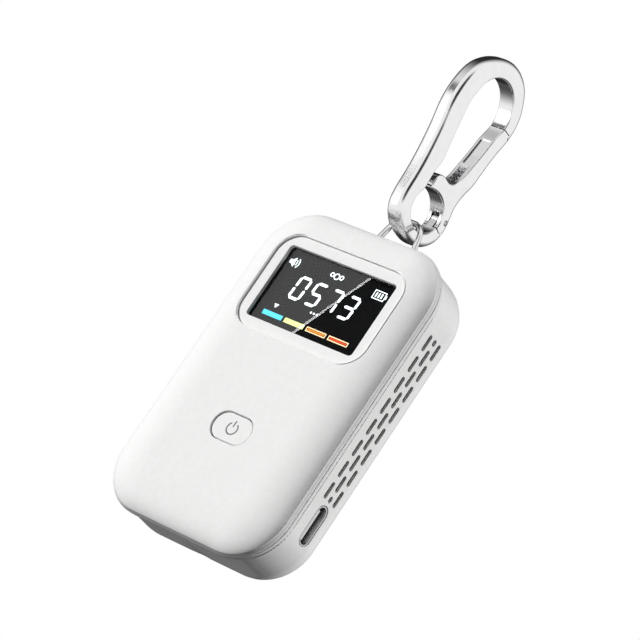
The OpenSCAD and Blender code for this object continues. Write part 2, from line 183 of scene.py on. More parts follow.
def rounded(w, l, r, arc=14, across=6, along=10):
    """Points round a rectangle with round corners, counter-clockwise from the middle of its foot, and the
    directions that point outwards there. Rectangles of any size match point for point."""
    r = max(r, 0.01)
    points, out = [], []

    def straight(a, b, n, direction):
        for k in range(n):
            points.append((a[0] + (b[0] - a[0]) * k / n, a[1] + (b[1] - a[1]) * k / n))
            out.append(direction)

    def corner(cx, cy, start):
        for t in map(radians, sweep(start, start + 90, arc)[:-1]):
            points.append((cx + r * cos(t), cy + r * sin(t)))
            out.append((cos(t), sin(t)))

    x, y = w / 2, l / 2
    straight((0, -y), (x - r, -y), across // 2, (0, -1))
    corner(x - r, r - y, -90)
    straight((x, r - y), (x, y - r), along, (1, 0))
    corner(x - r, y - r, 0)
    straight((x - r, y), (r - x, y), across, (0, 1))
    corner(r - x, y - r, 90)
    straight((-x, y - r), (-x, r - y), along, (-1, 0))
    corner(r - x, r - y, 180)
    straight((r - x, -y), (0, -y), across // 2, (0, -1))
    return np.array(points), np.array(out)


def sweep(start, end, steps):
    """Even steps from start to end, with both ends."""
    return [start + (end - start) * k / steps for k in range(steps + 1)]


def circle(r, n=32):
    t = 2 * pi * np.arange(n) / n
    out = np.stack([np.cos(t), np.sin(t)], 1)
    return r * out, out


def upright(points, y, z=MID_Z, x=0.0):
    """2-D points [across, up] set in the plane y."""
    return [(p[0] + x, y, p[1] + z) for p in points]


def tilted(out, tilt):
    """Normals that lean from the outward directions towards the front by tilt degrees."""
    c, s = cos(radians(tilt)), sin(radians(tilt))
    return [(o[0] * c, -s, o[1] * c) for o in out]


def shrunk(inset, w, l, r, **steps):
    """The outline of a rounded rectangle pulled in all round."""
    return rounded(w - 2 * inset, l - 2 * inset, r - inset, **steps)


def hoops(s, profile, w, l, r, z=MID_Z, **steps):
    """Rows round rounded rectangles: profile lists how far in, the depth Y and the normal's tilt."""
    rows = []
    for inset, y, tilt in profile:
        points, out = shrunk(inset, w, l, r, **steps)
        rows.append(s.row(upright(points, y, z), tilted(out, tilt)))
    s.bands(rows)
    return rows


def edge(inset, y, radius, start, steps=4):
    """Profile of a round edge seen from outside, from the tilt start to start + 90."""
    profile = []
    for t in sweep(start, start + 90, steps):
        c, s = cos(radians(t)), sin(radians(t))
        profile.append((inset + radius * (1 - c), y - radius * s, t))
    return profile


def opening(surface, loop, away, place, rim, depth, steps=4):
    """Rounds the edge of an opening and lines it down to depth. away points into the material; place gives a
    2-D point at a depth its spot, the normal and the two directions. Gives the outermost row with its 2-D
    points, and the last row."""
    rows = []
    for t in map(radians, sweep(0, 90, steps)):
        flat = loop + away * rim * (1 - sin(t))
        spots = [place(p, rim * (1 - cos(t))) for p in flat]
        normals = [n * cos(t) - (u * a[0] + v * a[1]) * sin(t)
                   for (_, n, u, v), a in zip(spots, away)]
        rows.append(surface.row([s[0] for s in spots], normals))
    last = [place(p, depth) for p in loop]
    normals = [-(u * a[0] + v * a[1]) for (_, _, u, v), a in zip(last, away)]
    rows.append(surface.row([s[0] for s in last], normals))
    surface.bands(rows)
    return (rows[0], loop + away * rim), rows[-1]


def tube(s, path, radius, sides=16, up=(0, 0, 1)):
    """Round wire along a path, closed at both ends. up is any direction that the path never takes."""
    path = np.array(path, float)
    ways = np.gradient(path, axis=0)
    ways /= np.linalg.norm(ways, axis=1)[:, None]
    rows = []
    for p, d in zip(path, ways):
        u = np.cross(d, up)
        u /= np.linalg.norm(u)
        v = np.cross(d, u)
        t = 2 * pi * np.arange(sides) / sides
        ring = np.outer(np.cos(t), u) + np.outer(np.sin(t), v)
        rows.append(s.row(p + radius * ring, ring))
    s.bands(rows)
    s.cap(rows[0], -ways[0])
    s.cap(rows[-1], ways[-1])


def prism(s, loop, y0, y1, z=MID_Z, x=0.0):
    """Straight-sided plate between the planes y0 and y1, from a 2-D outline."""
    front = s.row(upright(loop, y0, z, x), [(0, -1, 0)] * len(loop))
    back = s.row(upright(loop, y1, z, x), [(0, 1, 0)] * len(loop))
    out = np.array(loop) - np.mean(loop, axis=0)
    walls = [s.row([s.points[i] for i in row], [(o[0], 0, o[1]) for o in out])
             for row in (front, back)]
    s.face(front, True)
    s.face(back, True)
    s.band(*walls, flat=True)


def box_loop(x0, x1, z0, z1):
    return [(x0, z0), (x1, z0), (x1, z1), (x0, z1)]


def arc_loop(x, z, radius, t, a, b):
    """One straight piece of a round line of width t, between two angles in radians."""
    ends = ((radius - t / 2, a), (radius + t / 2, a), (radius + t / 2, b), (radius - t / 2, b))
    return [(x + r * cos(v), z + r * sin(v)) for r, v in ends]


# ---- materials ----


def new_material(name):
    """A material, its node tree and its Principled shader."""
    material = bpy.data.materials.new(name)
    material.use_nodes = True
    return material, material.node_tree, material.node_tree.nodes["Principled BSDF"]


def set_inputs(tree, node, inputs):
    """Gives a node's inputs, listed by name or number, their values, or links them to other nodes' outputs."""
    for name, value in inputs.items():
        if isinstance(value, bpy.types.NodeSocket):
            tree.links.new(value, node.inputs[name])
        else:
            node.inputs[name].default_value = value


def add_node(tree, kind, inputs, output=0, **settings):
    """Adds a node and gives one of its outputs."""
    node = tree.nodes.new(kind)
    for name, value in settings.items():
        setattr(node, name, value)
    set_inputs(tree, node, inputs)
    return node.outputs[output]


def own_place(tree):
    return add_node(tree, "ShaderNodeTexCoord", {}, "Object")


def noise(tree, scale, detail=3.0, stretch=(1, 1, 1)):
    """Noise over the object's own coordinates; scale is in spots per metre."""
    spread = add_node(tree, "ShaderNodeMapping", {"Scale": stretch, "Vector": own_place(tree)})
    return add_node(tree, "ShaderNodeTexNoise", {"Scale": scale, "Detail": detail, "Vector": spread}, "Fac")


def ranged(tree, value, low, high, start=0.3, end=0.7):
    """value, which a noise keeps from about start to end, brought to low to high."""
    return add_node(tree, "ShaderNodeMapRange", {
        "Value": value, "From Min": start, "From Max": end, "To Min": low, "To Max": high})


def tinted(tree, value, colour, other):
    """A colour between two, by value."""
    return add_node(tree, "ShaderNodeMix", {"A": (*colour, 1), "B": (*other, 1), "Factor": value}, "Result",
                    data_type="RGBA")


def bumped(tree, value, distance):
    """Normals of a relief of a depth in metres."""
    return add_node(tree, "ShaderNodeBump", {"Distance": distance, "Strength": 1, "Height": value})


def calculated(tree, operation, *values, **settings):
    """Outputs or numbers put together by a Math node."""
    return add_node(tree, "ShaderNodeMath", dict(enumerate(values)), operation=operation, **settings)


def surface_material(name, colour, other, rough, metal=0, scale=900, grain=9000, relief=2e-6, mirror=0.5,
                     stretch=(1, 1, 1)):
    """Plastic, metal, rubber or laminate: a faint drift of colour and gloss, and a fine grain."""
    material, tree, shader = new_material(name)
    drift = ranged(tree, noise(tree, scale, stretch=stretch), 0, 1)
    gloss = ranged(tree, noise(tree, scale * 2.3, stretch=stretch), *rough)
    set_inputs(tree, shader, {
        "Metallic": metal, "Specular IOR Level": mirror, "Base Color": tinted(tree, drift, colour, other),
        "Roughness": gloss, "Normal": bumped(tree, noise(tree, grain, 2, stretch), relief)})
    return material


def woven_material(name, colour, other, pitch):
    """Cloth or mesh: two crossing sets of threads a pitch apart, in metres, in the plane across X."""
    material, tree, shader = new_material(name)
    cross = calculated(tree, "MULTIPLY", *(
        add_node(tree, "ShaderNodeTexWave", {"Scale": 0.314 / pitch, "Vector": own_place(tree)}, "Fac",
                 bands_direction=way) for way in "YZ"))
    set_inputs(tree, shader, {
        "Roughness": 0.8, "Base Color": tinted(tree, cross, other, colour),
        "Normal": bumped(tree, cross, 5e-5)})
    return material


def glowing_material(name, colour, strength):
    """A lit part of the picture, a little uneven as a backlight is."""
    material, tree, shader = new_material(name)
    drift = ranged(tree, noise(tree, 400), 0, 1)
    mixed = tinted(tree, drift, colour, [c * 0.88 for c in colour])
    set_inputs(tree, shader, {
        "Roughness": 0.4, "Base Color": mixed, "Emission Color": mixed, "Emission Strength": strength})
    return material


def glass_material(name):
    """Thin clear window: what is behind shows through, and the outer face mirrors as glass does."""
    material, tree, shader = new_material(name)
    tree.nodes.remove(shader)
    clear = add_node(tree, "ShaderNodeBsdfTransparent", {"Color": (0.93, 0.94, 0.94, 1)})
    rough = ranged(tree, noise(tree, 150), 0.001, 0.003, 0, 1)
    mirror = add_node(tree, "ShaderNodeBsdfGlossy", {"Color": (1, 1, 1, 1), "Roughness": rough})
    fresnel = add_node(tree, "ShaderNodeFresnel", {"IOR": 1.5})
    back = add_node(tree, "ShaderNodeNewGeometry", {}, "Backfacing")
    share = calculated(tree, "MULTIPLY_ADD", back, -1, fresnel, use_clamp=True)
    mix = add_node(tree, "ShaderNodeMixShader", {"Fac": share, 1: clear, 2: mirror})
    tree.links.new(mix, tree.nodes["Material Output"].inputs["Surface"])
    return material


def grey(v):
    return v, v, v


white = surface_material("white_plastic", (0.83, 0.83, 0.825), (0.8, 0.8, 0.795), (0.34, 0.4), grain=14000,
                         relief=6e-7)
# The trim ring's plastic is a greyer copy of the case's white: painted shade along the parting lines. The
# socket's tongue shares this grey.
trim_grey_painted_shade = surface_material("trim_plastic", grey(0.72), grey(0.69), (0.32, 0.4), relief=8e-7)
chrome = surface_material("clip_chrome", (0.86, 0.86, 0.87), (0.82, 0.82, 0.83), (0.16, 0.2), metal=1.0,
                          scale=600, grain=5000, relief=1e-7)
wire_steel = surface_material("bail_steel", (0.8, 0.8, 0.81), (0.74, 0.74, 0.75), (0.1, 0.2), metal=1.0)
steel = surface_material("plain_steel", grey(0.58), (0.48, 0.48, 0.49), (0.25, 0.4), metal=1.0,
                         stretch=(1, 1, 6))
black_plastic = surface_material("black_plastic", grey(0.018), grey(0.03), (0.45, 0.6))
grey_ink = surface_material("grey_ink", grey(0.16), grey(0.2), (0.4, 0.5))
gold = surface_material("gold_plate", (0.83, 0.62, 0.28), (0.76, 0.55, 0.24), (0.22, 0.32), metal=1.0)
panel_black = surface_material("panel_black", (0.002, 0.002, 0.0025), (0.004, 0.004, 0.0045), (0.3, 0.38),
                               relief=2e-8, mirror=0.08)
ivory = surface_material("ivory_plastic", (0.72, 0.69, 0.6), (0.66, 0.63, 0.54), (0.5, 0.6))
rubber = surface_material("black_rubber", grey(0.02), grey(0.035), (0.7, 0.85), relief=1e-5)
orange_film = surface_material("flex_film", (0.5, 0.2, 0.03), (0.42, 0.16, 0.02), (0.25, 0.4))
laminate = surface_material("board_laminate", (0.01, 0.12, 0.05), (0.008, 0.09, 0.04), (0.3, 0.45), grain=3000,
                            relief=1e-5)
sensor_gold = surface_material("sensor_can", (0.72, 0.6, 0.36), (0.64, 0.52, 0.3), (0.3, 0.42), metal=1.0)
ceramic = surface_material("passive_ceramic", (0.36, 0.25, 0.15), (0.3, 0.2, 0.12), (0.5, 0.65))
foil = surface_material("cell_foil", (0.55, 0.57, 0.6), (0.48, 0.5, 0.53), (0.35, 0.5), metal=0.9, grain=2500,
                        relief=1.5e-5)
red_wire = surface_material("wire_insulation", (0.4, 0.02, 0.02), (0.33, 0.015, 0.015), (0.4, 0.5))
dark_mesh = woven_material("dust_mesh", grey(0.05), grey(0.01), 0.0003)
pale_cloth = woven_material("pale_membrane", (0.8, 0.8, 0.78), (0.6, 0.6, 0.58), 0.0002)
window_glass = glass_material("window_glass")
lit_white = glowing_material("lit_white", (0.9, 0.97, 1.0), 1.5)
lit_cyan = glowing_material("lit_cyan", (0.08, 0.6, 0.85), 1.0)
lit_green = glowing_material("lit_green", (0.75, 0.85, 0.3), 1.0)
lit_cream = glowing_material("lit_cream", (1.0, 0.72, 0.42), 1.0)
lit_orange = glowing_material("lit_orange", (0.75, 0.26, 0.03), 0.8)
lit_red = glowing_material("lit_red", (0.75, 0.07, 0.02), 0.8)

NODE_LOOKS = (
    (rubber, "window_adhesive battery_pad"),
    (panel_black, "display_panel"),
    (ivory, "display_tray display_connector battery_connector"),
    (orange_film, "display_flex"),
    (black_plastic, "switch_plunger controller_chip charger_chip buzzer"),
    (steel, "tact_switch case_screws usb_shell bail_retainer gate_plunger"),
    (laminate, "main_board"),
    (sensor_gold, "co2_sensor"),
    (pale_cloth, "sensor_membrane"),
    (ceramic, "board_passives"),
    (trim_grey_painted_shade, "usb_tongue"),
    (foil, "battery"),
    (red_wire, "battery_leads"),
    (dark_mesh, "vent_mesh_right vent_mesh_left"),
)


def paint(thing, look):
    thing.data.materials.clear()
    thing.data.materials.append(look)


for look, nodes in NODE_LOOKS:
    for node in nodes.split():
        paint(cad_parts[node], look)


def dress(piece, look, body, slot, *nodes):
    """Gives a piece its material and its body, and hides the CAD nodes that it stands for. slot is not used."""
    paint(piece, look)
    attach(piece, body)
    if nodes:
        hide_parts(*nodes)


# ---- camera, floor and light ----

EYE = Vector((0.42759, -0.49901, -0.22462))
BACKWARDS = Vector((0.6363, -0.7331, -0.2402)).normalized()
UPWARDS = Vector((-0.2917, -0.5169, 0.8048)).normalized()
SENSOR = 36.0
LENS = 192.7


def set_camera():
    data = bpy.data.cameras.new("camera")
    data.sensor_width, data.lens = SENSOR, LENS
    data.clip_start, data.clip_end = 0.05, 20
    camera = add_object("camera", data)
    right = UPWARDS.cross(BACKWARDS).normalized()
    turn = Matrix((right, BACKWARDS.cross(right), BACKWARDS)).transposed().to_4x4()
    camera.matrix_world = Matrix.Translation(EYE) @ turn
    bpy.context.scene.camera = camera


FLOOR_Z = -0.8
FLOOR_HALF = 0.6


def set_floor():
    mesh = bpy.data.meshes.new("floor")
    corners = [(x * FLOOR_HALF, y * FLOOR_HALF, FLOOR_Z) for x, y in ((-1, -1), (1, -1), (1, 1), (-1, 1))]
    mesh.from_pydata(corners, [], [(0, 1, 2, 3)])
    mesh.materials.append(surface_material("pale_floor", grey(0.82), grey(0.8), (0.6, 0.7), scale=4, grain=300,
                                           relief=1e-5))
    floor = add_object("floor", mesh)
    floor.visible_diffuse = False
    floor.visible_glossy = False


def add_lobe(tree, direction, towards, start, end, strength):
    """Brightness that rises smoothly as a direction turns towards one of its own."""
    dot = add_node(tree, "ShaderNodeVectorMath", {0: direction, 1: Vector(towards).normalized()}, "Value",
                   operation="DOT_PRODUCT")
    return add_node(tree, "ShaderNodeMapRange", {
        "Value": dot, "From Min": start, "From Max": end, "To Max": strength}, interpolation_type="SMOOTHSTEP")


def set_world():
    """Polished parts see bright and dark patches, dull parts a dim even fill, the camera a white backdrop."""
    world = bpy.data.worlds.new("studio")
    bpy.context.scene.world = world
    world.use_nodes = True
    tree = world.node_tree
    direction = add_node(tree, "ShaderNodeTexCoord", {}, "Generated")
    total = SURROUND
    for box in SOFT_BOXES:
        total = calculated(tree, "ADD", total, add_lobe(tree, direction, *box))
    total = calculated(tree, "MAXIMUM", total, FLAG_BLACK)
    shader, dull, plain = [
        add_node(tree, "ShaderNodeBackground", {"Color": (1, 1, 1, 1), "Strength": strength})
        for strength in (total, FILL, BACKDROP)]
    for kind, other in (("Is Diffuse Ray", dull), ("Is Camera Ray", plain)):
        ray = add_node(tree, "ShaderNodeLightPath", {}, kind)
        shader = add_node(tree, "ShaderNodeMixShader", {"Fac": ray, 1: shader, 2: other})
    tree.links.new(shader, tree.nodes["World Output"].inputs["Surface"])


def add_sun(name, towards, strength, width):
    """A distant soft lamp, width degrees wide, that polished parts don't mirror."""
    data = bpy.data.lights.new(name, "SUN")
    data.energy = strength
    data.angle = radians(width)
    lamp = add_object(name, data)
    lamp.visible_glossy = False
    lamp.rotation_euler = Vector(towards).to_track_quat("Z", "Y").to_euler()


# What polished parts see round them. Each box: its direction, the cosines where it starts and is full, and how
# much light it adds; the ones that take light away are black flags.
SURROUND = 1.0
SOFT_BOXES = (
    ((0, 0.6, -0.8), 0.2, 0.85, -0.95),
    ((-0.64, -0.72, -0.26), 0.97, 0.995, 2.5),
    ((-0.637, -0.731, 0.245), 0.985, 0.998, -1.0),
    ((0.7, -0.61, 0.24), 0.86, 0.97, -1.0),
    ((-0.636, 0.733, 0.2), 0.8, 0.96, -1.0),
    ((-0.62, 0.4, 0.68), 0.25, 0.97, -1.0),
)
SUNS = (("key_lamp", (-0.62, -0.76, 0.18), 4.05, 12), ("side_lamp", (0.76, 0.48, 0.42), 3.1, 10))
FLAG_BLACK = 0.02
FILL = 0.04
BACKDROP = 1.0

set_camera()
set_floor()
set_world()
for sun in SUNS:
    add_sun(*sun)
bpy.context.scene.view_settings.view_transform = "Standard"


def add_soft_box(name, start, width, radiance):
    """Rectangular lamp that the window mirrors, width wide, which starts at start from the line BOX_EDGE."""
    data = bpy.data.lights.new(name, "AREA")
    data.shape = "RECTANGLE"
    data.size, data.size_y = BOX_LENGTH * MM, width * MM
    data.energy = radiance * pi * data.size * data.size_y
    lamp = add_object(name, data)
    middle = (BOX_EDGE + BOX_OUT * (start + width / 2)) * MM
    turn = Matrix((BOX_ALONG, -BOX_OUT, BOX_OUT.cross(BOX_ALONG))).transposed()
    lamp.matrix_world = Matrix.Translation(middle) @ turn.to_4x4()
    lamp.visible_camera = False


BOX_EDGE = Vector((-188.4, -229.5, 15.6))
BOX_ALONG = Vector((-0.419, 0.062, -0.906)).normalized()
BOX_OUT = BOX_ALONG.cross(Vector((-0.637, -0.731, 0.245))).normalized()
BOX_LENGTH = 62
add_soft_box("soft_box", 0, 26, 1.2)
add_soft_box("strip_box", -0.6, 0.6, 10)

# ---- the case's front cover ----


def dome(p, w=CASE_W, l=CASE_L, r=CORNER, reach=REACH, rise=RISE, foot=RIM_Y, way=-1):
    """Depth Y and normal of a domed plate at the 2-D point p, measured from the middle of the case: a quarter
    ellipse all round, reach wide, that rises from the depth foot towards way."""
    side = np.sign(p[0]) or 1.0, np.sign(p[1]) or 1.0
    q = abs(p[0]) - (w / 2 - r), abs(p[1]) - (l / 2 - r)
    if q[0] > 0 and q[1] > 0:
        d = hypot(*q)
        inset, out = r - d, (side[0] * q[0] / d, side[1] * q[1] / d)
    elif q[0] > q[1]:
        inset, out = r - q[0], (side[0], 0)
    else:
        inset, out = r - q[1], (0, side[1])
    c = min(max(1 - inset / reach, 0), 1)
    s = sqrt(1 - c * c)
    slope = rise * c / (reach * max(s, 1e-6))
    return foot + way * rise * s, Vector((out[0] * slope, way, out[1] * slope)).normalized()


def facing(p, y, normal):
    """What opening asks of a place on the front or the back."""
    return Vector((p[0], y, p[1] + MID_Z)), normal, Vector((1, 0, 0)), Vector((0, 0, 1))


def on_dome(p, depth):
    y, normal = dome(p)
    return facing(p, y + depth, normal)


def dome_profile(reach, rise, inset, start, end, steps, side=0):
    """Profile of a quarter ellipse, between two angles along it. side is 180 for the inside."""
    profile = []
    for t in map(radians, sweep(start, end, steps)):
        tilt = degrees(atan2(reach * sin(t), rise * cos(t)))
        profile.append((inset + reach * (1 - cos(t)), RIM_Y - rise * sin(t), tilt + side))
    return profile


INNER = (REACH - WALL, RISE - WALL)
STRIP_END = 62  # degrees along the dome where its regular rows end
COVER_RIM = 0.1
RECESS_RIM, RECESS_DROP = 0.12, 0.35
VIEW_RIM, KEY_RIM = 0.15, 0.1
NOTCH_UP, NOTCH_HALF, NOTCH_IN = 0.8, 0.18, 0.65  # parting groove above the rim: height, half width, reach
# Fine groove at the foot of the recess's wall: how far in, how deep, and the normal across and forward
LEDGE_GROOVE = ((0, 0.12, 1, 0), (0.02, 0.17, 0.7, 0.7), (0.09, 0.17, -0.7, 0.7), (0.12, 0.03, -1, 0.1),
                (0.15, 0, 0, 1))
# The seam round the sunken frame, from its inner side out: how far out, how deep and the normal's lean
RECESS_SEAM = ((0.16, 0, 0), (0.26, 0.5, 0.8), (0.3, 0.5, -0.8), (0.4, 0, 0))


def make_cover():
    s = Surface()
    start, before, after = (degrees(asin(height / RISE)) for height in (
        COVER_RIM + EASE, NOTCH_UP - NOTCH_HALF, NOTCH_UP + NOTCH_HALF))
    profile = [(WALL, RIM_Y - EASE, -90)] + edge(0, RIM_Y - EASE - COVER_RIM, COVER_RIM, -90)[:-1]
    profile += dome_profile(REACH, RISE, 0, start, before, 2)
    profile += [(NOTCH_IN, RIM_Y - NOTCH_UP, 0)]
    profile += dome_profile(REACH, RISE, 0, after, STRIP_END, 14)
    rows = hoops(s, profile, *CASE)

    recess, away = rounded(*RECESS)
    recess = recess + (0, VIEW_UP)
    view, view_away = rounded(*VIEW)
    view = view + (0, VIEW_UP)
    key, key_away = rounded(*KEY)
    key = key - (0, KEY_DOWN)

    recess_edge, wall = opening(s, recess, away, on_dome, RECESS_RIM, RECESS_DROP)
    seam = [recess_edge[0]]
    for shift, sink, lean in RECESS_SEAM:
        spots = [on_dome(p, sink) for p in recess + away * shift]
        normals = [spot[1] * (1 - abs(lean)) + Vector((a[0], 0, a[1])) * lean for spot, a in zip(spots, away)]
        seam.append(s.row([spot[0] for spot in spots], normals))
    s.bands(seam)
    steps = [wall]
    for shift, sink, lean, face in LEDGE_GROOVE:
        normals = [(-a[0] * lean, -face, -a[1] * lean) for a in away]
        steps.append(s.row(upright(recess - away * shift, LEDGE_Y + sink), normals))
    s.bands(steps)

    def on_ledge(p, depth):
        return facing(p, LEDGE_Y + depth, Vector((0, -1, 0)))

    def under(p):
        y, normal = dome(p, CASE_W - 2 * WALL, CASE_L - 2 * WALL, CORNER - WALL, *INNER)
        return (p[0], y, p[1] + MID_Z), -normal

    view_edge, view_foot = opening(s, view, view_away, on_ledge, VIEW_RIM, FRONT_Y + WALL - LEDGE_Y)
    s.band(steps[-1], view_edge[0])
    key_edge, key_foot = opening(s, key, key_away, on_dome, KEY_RIM, WALL)

    # Loose points that keep the triangles on the bent front small
    spots = [(x, z) for x in (-11, -8.5, -6.5, 6.5, 8.5, 11) for z in range(-22, -4, 2)]
    spots += [(x, z) for x in (-4, -1.3, 1.3, 4) for z in (-22, -20, -18, -8, -6)]
    for t in range(STRIP_END + 4, 91, 4):
        ring, _ = shrunk(REACH * (1 - cos(radians(t))), *CASE, across=12, along=30)
        spots += [p for p in ring if not inside(p, recess + away * 0.7)]
    holes = [(seam[-1], recess + away * RECESS_SEAM[-1][0]), key_edge]
    s.fill((rows[-1], shrunk(profile[-1][0], *CASE)[0]), holes, spots, lambda p: on_dome(p, 0)[:2])

    inner = [(WALL + 0.02, RIM_Y - EASE - 0.02, 180)]
    inner += dome_profile(*INNER, WALL, 3, STRIP_END, 8, 180)
    inner_rows = hoops(s, inner, *CASE)
    s.band(rows[0], inner_rows[0])
    s.fill((inner_rows[-1], shrunk(inner[-1][0], *CASE)[0]), [(view_foot, view), (key_foot, key)], [], under)
    return s.build("front_cover_shell")


dress(make_cover(), white, "housing", "white_case", "front_cover")

# ---- the power key ----

KEY_GAP = 0.2
KEY_SINK = 0.25
key_z = MID_Z - KEY_DOWN
key_top = FRONT_Y + KEY_SINK
under_cover = FRONT_Y + WALL
FLANGE = 0.8  # how far the key's flange reaches past its opening
STEM = 3.2


def plate(s, w, l, r, y0, y1, z, rim_front, rim_back):
    """Closed plate with rounded front and back edges."""
    profile = edge(0, y1 - rim_back, rim_back, -90) + edge(0, y0 + rim_front, rim_front, 0)
    rows = hoops(s, profile, w, l, r, z, arc=12, across=4, along=4)
    s.cap(rows[0], (0, 1, 0))
    s.cap(rows[-1], (0, -1, 0))


def make_key():
    s = Surface()
    w, l, r = KEY
    plate(s, w - 2 * KEY_GAP, l - 2 * KEY_GAP, r - KEY_GAP, key_top, under_cover + 0.3, key_z, 0.3, 0.05)
    plate(s, w + 2 * FLANGE, l + 2 * FLANGE, r + FLANGE, under_cover + 0.1, under_cover + 0.9, key_z, 0.1, 0.1)
    plate(s, STEM, STEM, STEM / 2, under_cover + 0.8, span("power_button")[1].y, key_z, 0.05, 0.1)
    return s.build("power_key")


def make_power_sign():
    """The usual on/off sign: a ring broken at its top, and a bar through the gap."""
    s = Surface()
    front, back = key_top - 0.02, key_top + 0.1
    radius, stroke, half_gap = 1.3, 0.3, 36
    angles = [radians(t) for t in sweep(90 + half_gap, 450 - half_gap, 28)]
    for a, b in zip(angles, angles[1:]):
        prism(s, arc_loop(0, 0, radius, stroke, a, b), front, back, key_z)
    bar, _ = rounded(stroke, 1.5, stroke / 2, 4, 2, 1)
    prism(s, bar + (0, 1.05), front, back, key_z)
    return s.build("power_sign")


dress(make_key(), white, "button", "key_plastic", "power_button")
dress(make_power_sign(), grey_ink, "button", "key_plastic")

# ---- the display window and its picture ----


def make_window():
    """The pane's true outline, with flat faces and a fine round edge."""
    s = Surface()
    lo, hi = span("display_window")
    corner, rim = 0.8, 0.05
    plate(s, hi.x - lo.x, hi.z - lo.z, corner, lo.y, hi.y, (lo.z + hi.z) / 2, rim, rim)
    return s.build("window_pane")


dress(make_window(), window_glass, "housing", "window_glass", "display_window")

PICTURE_X, PICTURE_Z = -1.2, MID_Z + VIEW_UP + 0.5
panel_y = span("display_panel")[0].y
SEGMENTS = {"0": "abcdef", "5": "acdfg", "7": "abc", "3": "abcdg"}
READING = "0573"
DIGIT_PITCH = 4.45
DIGIT = (2.6, 4.9)
DIGITS_X, DIGITS_Z = 0.3, 0.6
STROKE = 0.62
SEGMENT_GAP = 0.09
SLANT = 0.08
FINE = 0.24  # line width of the signs


def light_up(s, loop):
    """A lit shape on the panel's face."""
    prism(s, loop, panel_y - 0.02, panel_y + 0.01, PICTURE_Z, PICTURE_X)


def segment_loop(a, b):
    """A bar with pointed ends from a to b."""
    a, b = Vector(a), Vector(b)
    way = (b - a).normalized()
    side = Vector((-way.y, way.x)) * STROKE / 2
    tip = way * STROKE / 2
    gap = way * SEGMENT_GAP
    a, b = a + gap, b - gap
    return [a, a + tip - side, b - tip - side, b, b - tip + side, a + tip + side]


def make_digits():
    s = Surface()
    w, h = DIGIT[0] / 2, DIGIT[1] / 2
    ends = {"a": ((-w, h), (w, h)), "b": ((w, h), (w, 0)), "c": ((w, 0), (w, -h)), "d": ((w, -h), (-w, -h)),
            "e": ((-w, -h), (-w, 0)), "f": ((-w, 0), (-w, h)), "g": ((-w, 0), (w, 0))}
    for k, figure in enumerate(READING):
        x = DIGITS_X + (k - 1.5) * DIGIT_PITCH
        for name in SEGMENTS[figure]:
            light_up(s, [(p[0] + x + SLANT * p[1], p[1] + DIGITS_Z) for p in segment_loop(*ends[name])])
    return s.build("screen_digits")


def frame_bars(s, x, z, w, h, t):
    """A hollow rectangle of line width t, as four bars."""
    x0, x1, z0, z1 = x - w / 2, x + w / 2, z - h / 2, z + h / 2
    for bar in ((x0, x1, z1 - t, z1), (x0, x1, z0, z0 + t), (x0, x0 + t, z0 + t, z1 - t),
                (x1 - t, x1, z0 + t, z1 - t)):
        light_up(s, box_loop(*bar))


def arc_bars(s, x, z, radius, start, end, steps=8):
    angles = [radians(t) for t in sweep(start, end, steps)]
    for a, b in zip(angles, angles[1:]):
        light_up(s, arc_loop(x, z, radius, FINE, a, b))


def make_icons():
    """Loudspeaker, a gas molecule, battery, unit dots and the pointer over the scale."""
    s = Surface()
    x, z = -11.5, 5.3
    horn = [(-1.3, -0.45), (-0.7, -0.45), (0.1, -1.1), (0.1, 1.1), (-0.7, 0.45), (-1.3, 0.45)]
    light_up(s, [(x + p[0], z + p[1]) for p in horn])
    for radius in (0.75, 1.35):
        arc_bars(s, x - 0.1, z, radius, -48, 48)
    for dx, dz, radius in ((0, 0, 0.62), (-1.25, 0.1, 0.42), (1.25, 0.1, 0.42)):
        arc_bars(s, -0.1 + dx, 5.7 + dz, radius, 0, 360, 16)
    frame_bars(s, 11.7, 5.3, 3.1, 2.0, 0.2)
    light_up(s, box_loop(13.28, 13.6, 4.9, 5.7))
    for k in range(3):
        light_up(s, box_loop(10.75 + 0.72 * k, 11.1 + 0.72 * k, 4.75, 5.85))
        light_up(s, circle(0.24, 12)[0] + (-0.5 + 0.8 * k, -3.2))
    light_up(s, [(-9.7, -4.2), (-8.5, -4.2), (-9.1, -5.1)])
    return s.build("screen_icons")


dress(make_digits(), lit_white, "housing", "display")
dress(make_icons(), lit_white, "housing", "display")

SCALE_Z = -6.6
SCALE_SIZE = (5.3, 1.05)
SCALE = (
    ("scale_good", lit_cyan, -8.6, (0, 0)),
    ("scale_fair", lit_green, -2.6, (0, 0)),
    ("scale_poor_frame", lit_cream, 3.4, None),
    ("scale_poor", lit_orange, 3.4, (0.45, 0.32)),
    ("scale_bad_frame", lit_cream, 9.4, None),
    ("scale_bad", lit_red, 9.4, (0.45, 0.32)),
)
for name, look, x, inset in SCALE:
    step = Surface()
    if inset is None:
        frame_bars(step, x, SCALE_Z, *SCALE_SIZE, 0.22)
    else:
        w, h = SCALE_SIZE[0] / 2 - inset[0], SCALE_SIZE[1] / 2 - inset[1]
        light_up(step, box_loop(x - w, x + w, SCALE_Z - h, SCALE_Z + h))
    dress(step.build(name), look, "housing", "display")

# ---- trim ring ----


TRIM_INSET, TRIM_RIM, TRIM_THICK = 0.15, 0.1, 1.9
TONGUE_INSET = TRIM_INSET + 1.3


